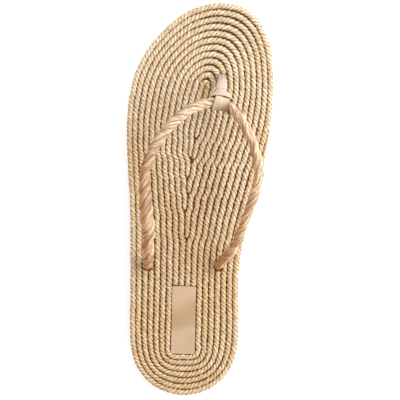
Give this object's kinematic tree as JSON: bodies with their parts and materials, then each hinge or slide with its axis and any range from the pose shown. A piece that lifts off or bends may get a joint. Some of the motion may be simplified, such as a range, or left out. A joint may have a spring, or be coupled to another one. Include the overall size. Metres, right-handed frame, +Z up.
{
  "type": "rope thong sandal",
  "caption": "Left flip-flop sandal with a coiled straw-rope footbed on a thin rubber sole, a thick twisted rope strap across the foot, and a leather-wrapped toe post.",
  "frame": {"origin": "on the ground, under the centre of the sole's box", "axes": "+Y from heel to toe, +X to the inner side of the foot, +Z up"},
  "size_m": [0.0948, 0.2546, 0.0571],
  "materials": {
    "rubber": "matt moulded",
    "coil_rope": "twisted straw",
    "label": "satin",
    "strap_rope": "twisted raffia",
    "leather": "smooth",
    "post": "soft satin"
  },
  "bodies": {
    "root": {"outsole": "rubber", "footbed_coil": "coil_rope", "heel_label": "label", "strap_rope": "strap_rope", "strap_sleeve": "leather", "post_collar": "leather", "toe_post": "post"}
  },
  "joints": []
}
